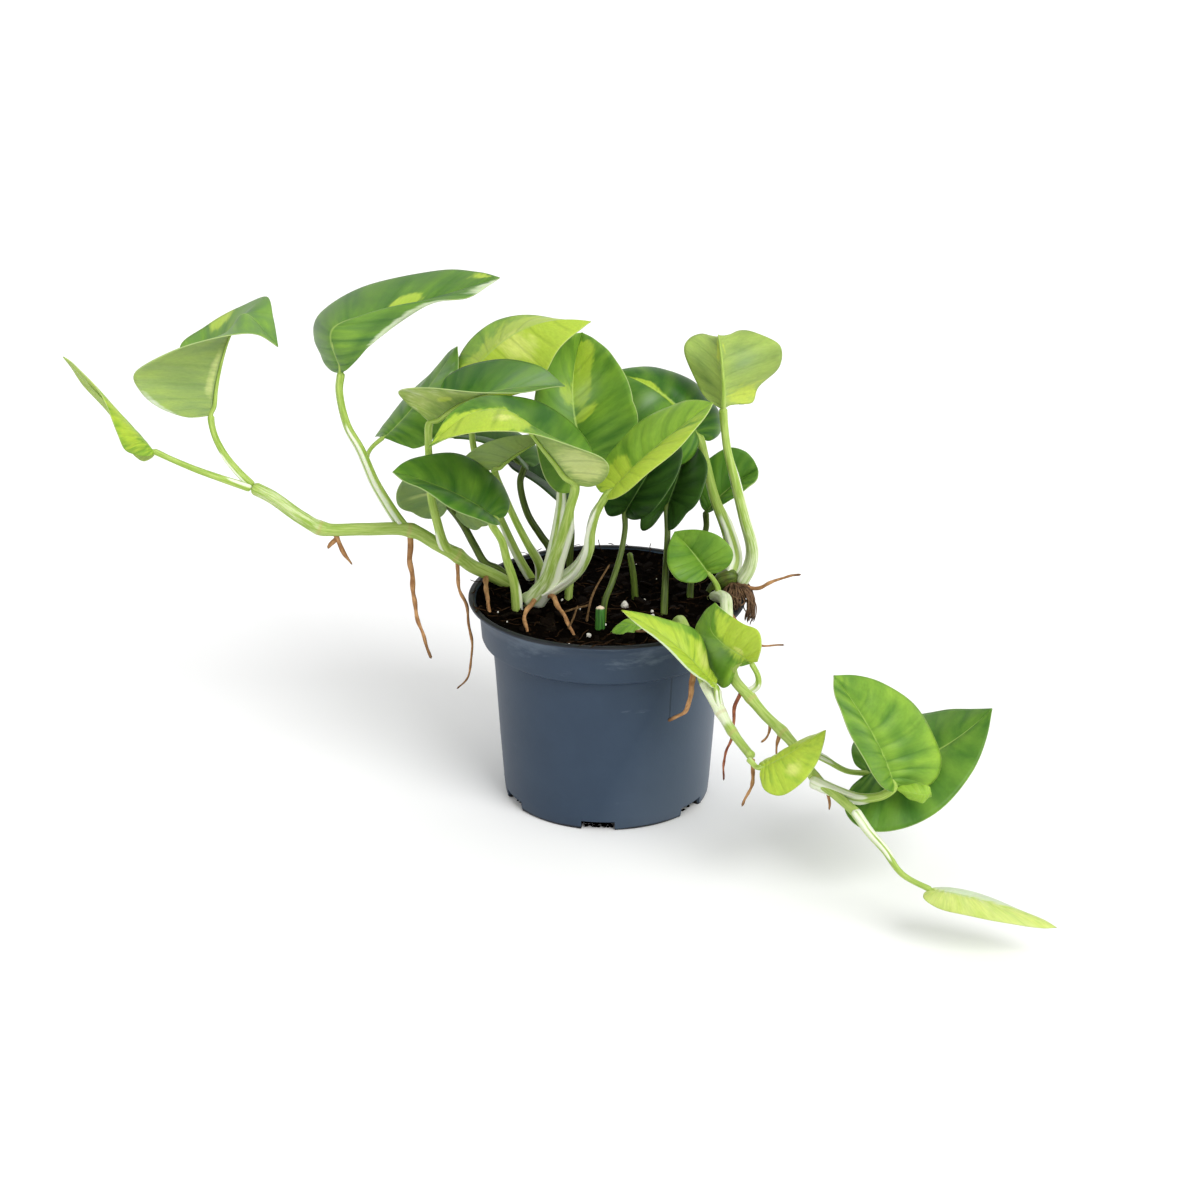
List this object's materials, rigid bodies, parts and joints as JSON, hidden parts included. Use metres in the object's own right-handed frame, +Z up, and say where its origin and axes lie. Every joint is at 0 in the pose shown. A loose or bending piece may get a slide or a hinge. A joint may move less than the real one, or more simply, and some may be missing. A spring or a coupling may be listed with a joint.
{
  "type": "potted global green pothos",
  "caption": "Young variegated trailing aroid with heart-shaped leaves and long vines, rooted in a round nursery pot that stands on its foot.",
  "frame": {"origin": "centre of the pot's foot, on the surface that the pot stands on", "axes": "+Z up along the pot's axis, -Y towards the side seen from the front, +X towards the long vine that trails to the right"},
  "size_m": [0.415, 0.2376, 0.241],
  "materials": {
    "pot_plastic": "satin injection-moulded plastic",
    "potting_mix": "loose damp peat and bark",
    "green_stem": "satin living stem",
    "old_stem": "dry matt stem",
    "aerial_root": "dry matt root skin",
    "leaf_green": "waxy satin leaf",
    "leaf_lime": "waxy satin leaf",
    "leaf_deep": "waxy satin leaf",
    "leaf_pale": "matt pale underside"
  },
  "bodies": {
    "root": {"leaf_behind_dusty": "leaf_deep", "leaf_centre_tall": "leaf_green", "leaf_dusty": "leaf_green", "leaf_far_left": "leaf_lime", "leaf_front_arched": "leaf_green", "leaf_front_dark": "leaf_deep", "leaf_front_lime": "leaf_lime", "leaf_left_folded": "leaf_pale", "leaf_left_tall": "leaf_green", "leaf_lime_top": "leaf_lime", "leaf_low_pale": "leaf_pale", "leaf_right_round": "leaf_pale", "leaf_right_striped": "leaf_green", "leaf_rim_left": "leaf_lime", "leaf_rim_right": "leaf_lime", "leaf_shade_back": "leaf_deep", "leaf_shade_far_right": "leaf_deep", "leaf_shade_left": "leaf_deep", "leaf_shade_right": "leaf_deep", "leaf_shade_round": "leaf_deep", "leaf_small_pale": "leaf_pale", "leaf_small_round": "leaf_green", "leaf_vine_end": "leaf_pale", "leaf_vine_lime": "leaf_lime", "leaf_vine_quilted": "leaf_green", "leaf_vine_wide": "leaf_green", "pot": "pot_plastic", "root_branch_lower": "aerial_root", "root_branch_upper": "aerial_root", "root_front_left": "aerial_root", "root_front_right": "aerial_root", "root_left_inner": "aerial_root", "root_left_long": "aerial_root", "root_over_collar": "aerial_root", "root_red_long": "aerial_root", "root_rim_long": "aerial_root", "root_rim_short": "aerial_root", "root_rim_tuft": "aerial_root", "root_side_end": "aerial_root", "root_soil_left": "aerial_root", "root_vine_end": "aerial_root", "root_vine_short": "aerial_root", "soil": "potting_mix", "sprout": "leaf_lime", "stem_cut": "green_stem", "stem_dry": "old_stem", "stem_front": "green_stem", "stem_left_vine": "green_stem", "stem_right_knot": "old_stem", "stem_right_vine": "green_stem", "stem_side_vine": "green_stem", "stem_stub": "green_stem"}
  },
  "joints": []
}
